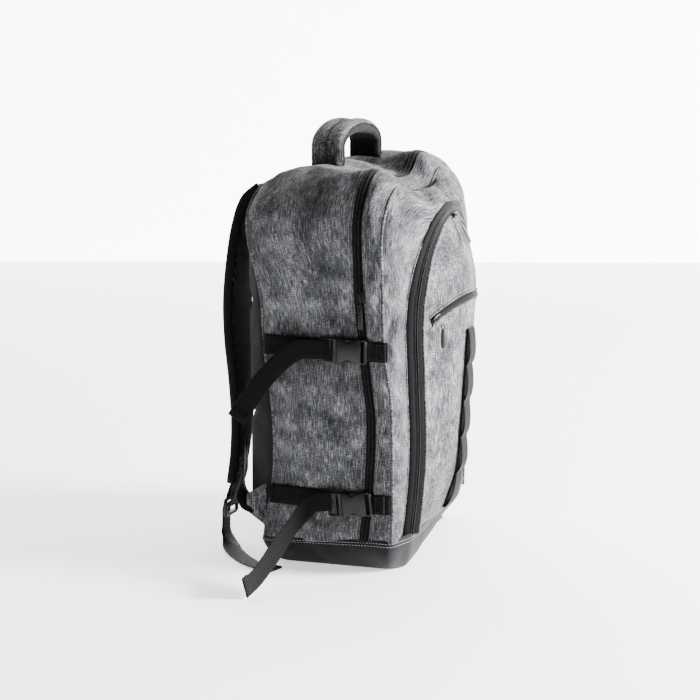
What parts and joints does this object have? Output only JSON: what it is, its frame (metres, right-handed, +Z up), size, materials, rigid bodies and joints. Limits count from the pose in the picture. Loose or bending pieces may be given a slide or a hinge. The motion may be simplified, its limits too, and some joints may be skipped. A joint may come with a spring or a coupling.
{
  "type": "daypack",
  "caption": "Upright travel daypack with clamshell main zip, arched front flap pocket, side compression straps, padded back, shoulder straps and grab handle.",
  "frame": {"origin": "centre of the flat base that the pack stands on", "axes": "+Z up, -Y the front with the pocket flap, +Y the padded back, +X the wearer's right"},
  "size_m": [0.618, 0.3278, 0.5629],
  "materials": {
    "cloth": "heather grey woven polyester",
    "boot": "dark coated cloth",
    "lining": "plain woven lining",
    "spacer_mesh": "black spacer mesh",
    "webbing": "black woven webbing",
    "zip_tape": "black woven tape",
    "zip_coil": "black nylon coil",
    "buckle": "black moulded acetal",
    "slider": "black coated zinc",
    "pull": "black moulded pull",
    "stiffener": "plain plastic sheet"
  },
  "bodies": {
    "pack": {"rear_gusset": "cloth", "front_gusset": "cloth", "pocket_wall": "cloth", "pocket_divider": "lining", "corner_piping": "cloth", "main_zip_tapes": "zip_tape", "main_zip_coil": "zip_coil", "front_zip_outer": "zip_tape", "base_boot": "boot", "base_board": "stiffener", "back_panel": "lining", "frame_sheet": "stiffener", "back_pad": "spacer_mesh", "laptop_sleeve": "lining", "anchor_webbing": "webbing", "strap_tab_left": "cloth", "adjuster_webbing_left": "webbing", "buckle_socket_upper_left": "buckle", "compression_web_upper_left": "webbing", "buckle_socket_lower_left": "buckle", "compression_web_lower_left": "webbing", "strap_tab_right": "cloth", "adjuster_webbing_right": "webbing", "buckle_socket_upper_right": "buckle", "compression_web_upper_right": "webbing", "buckle_socket_lower_right": "buckle", "compression_web_lower_right": "webbing"},
    "flap": {"flap_panel": "cloth", "front_zip_inner": "zip_tape", "chest_zip": "zip_tape", "chest_pocket_bag": "lining", "daisy_chain": "webbing"},
    "handle": {"handle_cover": "cloth", "handle_grip": "spacer_mesh"},
    "front_slider": {"front_slider": "slider"},
    "front_pull": {"front_pull": "pull"},
    "chest_slider": {"chest_slider": "slider"},
    "chest_pull": {"chest_pull": "pull"},
    "strap_left": {"strap_pad_left": "cloth", "strap_lining_left": "spacer_mesh", "strap_end_loop_left": "webbing"},
    "lock_left": {"ladder_lock_left": "buckle", "adjuster_tail_left": "webbing"},
    "main_slider_left": {"main_slider_left": "slider"},
    "main_pull_left": {"main_pull_left": "pull"},
    "plug_upper_left": {"buckle_plug_upper_left": "buckle"},
    "tail_upper_left": {"web_tail_upper_left": "webbing"},
    "plug_lower_left": {"buckle_plug_lower_left": "buckle"},
    "tail_lower_left": {"web_tail_lower_left": "webbing"},
    "strap_right": {"strap_pad_right": "cloth", "strap_lining_right": "spacer_mesh", "strap_end_loop_right": "webbing"},
    "lock_right": {"ladder_lock_right": "buckle", "adjuster_tail_right": "webbing"},
    "main_slider_right": {"main_slider_right": "slider"},
    "main_pull_right": {"main_pull_right": "pull"},
    "plug_upper_right": {"buckle_plug_upper_right": "buckle"},
    "tail_upper_right": {"web_tail_upper_right": "webbing"},
    "plug_lower_right": {"buckle_plug_lower_right": "buckle"},
    "tail_lower_right": {"web_tail_lower_right": "webbing"}
  },
  "joints": [
    {"name": "flap_open", "type": "hinge", "parent": "pack", "child": "flap", "pos_m": [0, -0.1125, 0.0465], "axis": [1, 0, 0], "range_deg": [0, 70]},
    {"name": "handle_fold", "type": "hinge", "parent": "pack", "child": "handle", "pos_m": [0, 0.041, 0.5319], "axis": [1, 0, 0], "range_deg": [-35, 35]},
    {"name": "front_slider_run", "type": "hinge", "parent": "flap", "child": "front_slider", "pos_m": [0, -0.1085, 0.33], "axis": [0, 1, 0], "range_deg": [-80, 80]},
    {"name": "front_pull_lift", "type": "hinge", "parent": "front_slider", "child": "front_pull", "pos_m": [0, -0.11749, 0.43365], "axis": [-1, 0, 0], "range_deg": [0, 90]},
    {"name": "chest_slider_run", "type": "hinge", "parent": "flap", "child": "chest_slider", "pos_m": [0, -0.0406, 0.22451], "axis": [0, 0.7685, 0.6399], "range_deg": [0, 65.4]},
    {"name": "chest_pull_lift", "type": "hinge", "parent": "chest_slider", "child": "chest_pull", "pos_m": [-0.08378, -0.12526, 0.3086], "axis": [-1, 0, 0], "range_deg": [0, 90]},
    {"name": "strap_left_swing", "type": "hinge", "parent": "pack", "child": "strap_left", "pos_m": [-0.07, 0.1185, 0.476], "axis": [1, 0, 0], "range_deg": [0, 18], "deforming": ["adjuster_webbing_left"]},
    {"name": "lock_left_tilt", "type": "hinge", "parent": "strap_left", "child": "lock_left", "pos_m": [-0.095, 0.171, 0.062], "axis": [1, 0, 0], "range_deg": [-6, 0]},
    {"name": "main_slider_left_run", "type": "slide", "parent": "pack", "child": "main_slider_left", "axis": [0, 0, 1], "range_m": [0, 0.078]},
    {"name": "main_pull_left_lift", "type": "hinge", "parent": "main_slider_left", "child": "main_pull_left", "pos_m": [-0.1663, -0.044, 0.3425], "axis": [0, 1, 0], "range_deg": [0, 120]},
    {"name": "plug_upper_left_release", "type": "slide", "parent": "pack", "child": "plug_upper_left", "axis": [0, 1, 0], "range_m": [0, 0.024], "deforming": ["compression_web_upper_left"]},
    {"name": "tail_upper_left_swing", "type": "hinge", "parent": "plug_upper_left", "child": "tail_upper_left", "pos_m": [-0.1714, 0.011, 0.287], "axis": [0, 0, 1], "range_deg": [-10, 45]},
    {"name": "plug_lower_left_release", "type": "slide", "parent": "pack", "child": "plug_lower_left", "axis": [0, 1, 0], "range_m": [0, 0.024], "deforming": ["compression_web_lower_left"]},
    {"name": "tail_lower_left_swing", "type": "hinge", "parent": "plug_lower_left", "child": "tail_lower_left", "pos_m": [-0.1714, 0.011, 0.093], "axis": [0, 0, 1], "range_deg": [-10, 45]},
    {"name": "strap_right_swing", "type": "hinge", "parent": "pack", "child": "strap_right", "pos_m": [0.07, 0.1185, 0.476], "axis": [1, 0, 0], "range_deg": [0, 18], "deforming": ["adjuster_webbing_right"]},
    {"name": "lock_right_tilt", "type": "hinge", "parent": "strap_right", "child": "lock_right", "pos_m": [0.095, 0.171, 0.062], "axis": [1, 0, 0], "range_deg": [-6, 0]},
    {"name": "main_slider_right_run", "type": "slide", "parent": "pack", "child": "main_slider_right", "axis": [0, 0, 1], "range_m": [0, 0.078]},
    {"name": "main_pull_right_lift", "type": "hinge", "parent": "main_slider_right", "child": "main_pull_right", "pos_m": [0.1663, -0.044, 0.3425], "axis": [0, -1, 0], "range_deg": [0, 120]},
    {"name": "plug_upper_right_release", "type": "slide", "parent": "pack", "child": "plug_upper_right", "axis": [0, 1, 0], "range_m": [0, 0.024], "deforming": ["compression_web_upper_right"]},
    {"name": "tail_upper_right_swing", "type": "hinge", "parent": "plug_upper_right", "child": "tail_upper_right", "pos_m": [0.1714, 0.011, 0.287], "axis": [0, 0, -1], "range_deg": [-10, 45]},
    {"name": "plug_lower_right_release", "type": "slide", "parent": "pack", "child": "plug_lower_right", "axis": [0, 1, 0], "range_m": [0, 0.024], "deforming": ["compression_web_lower_right"]},
    {"name": "tail_lower_right_swing", "type": "hinge", "parent": "plug_lower_right", "child": "tail_lower_right", "pos_m": [0.1714, 0.011, 0.093], "axis": [0, 0, -1], "range_deg": [-10, 45]}
  ]
}
